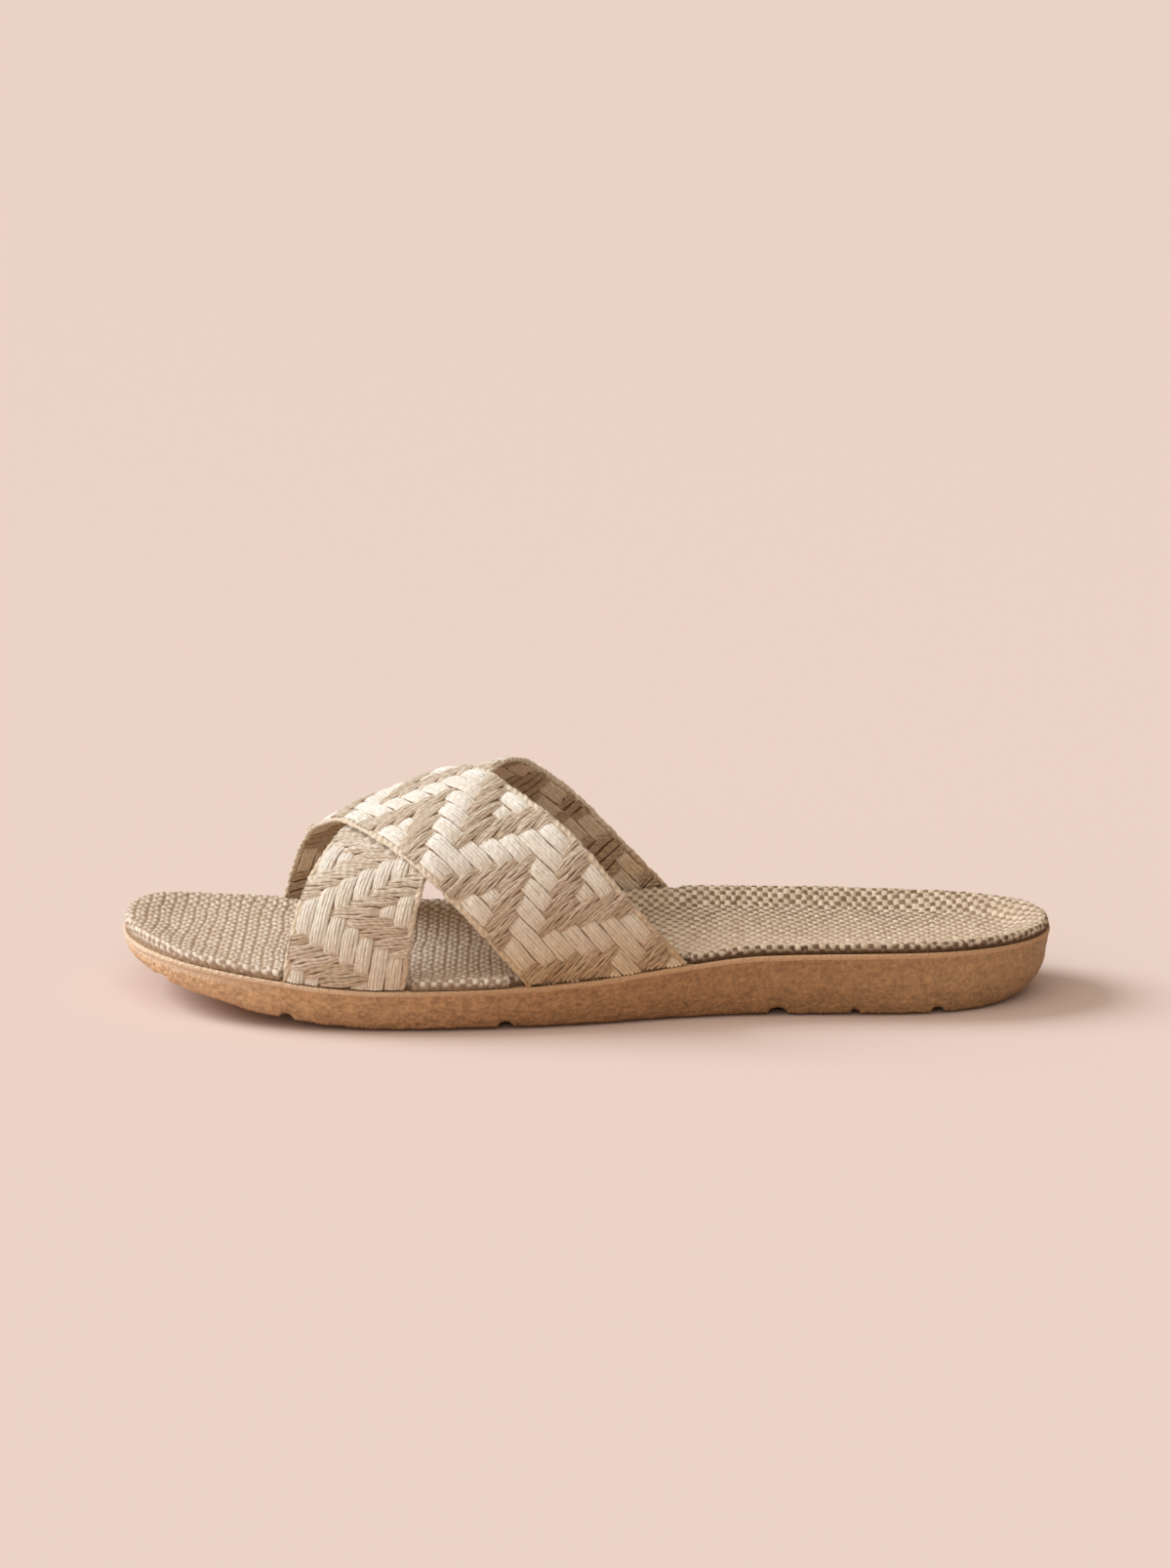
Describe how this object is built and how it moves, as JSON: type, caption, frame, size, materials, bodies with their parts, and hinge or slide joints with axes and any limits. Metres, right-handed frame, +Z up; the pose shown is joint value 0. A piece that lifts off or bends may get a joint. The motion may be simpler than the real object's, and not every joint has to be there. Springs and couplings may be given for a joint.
{
  "type": "braided flat sandal",
  "caption": "Flat slip-on sandal for a left foot: crossed woven straps over a woven footbed on a one-piece tan rubber sole with toe spring and cross grooves.",
  "frame": {"origin": "On the ground under the middle of the sole's length and width.", "axes": "+X to the heel, -X to the toe, -Y to the outer (little toe) side, +Y to the inner (big toe) side, +Z up."},
  "size_m": [0.2591, 0.0896, 0.0642],
  "materials": {
    "outsole": "matte crepe",
    "footbed": "plain woven jute",
    "upper": "chevron weave of straw-like yarn"
  },
  "bodies": {
    "root": {"outsole": "outsole", "footbed": "footbed", "upper": "upper"}
  },
  "joints": []
}
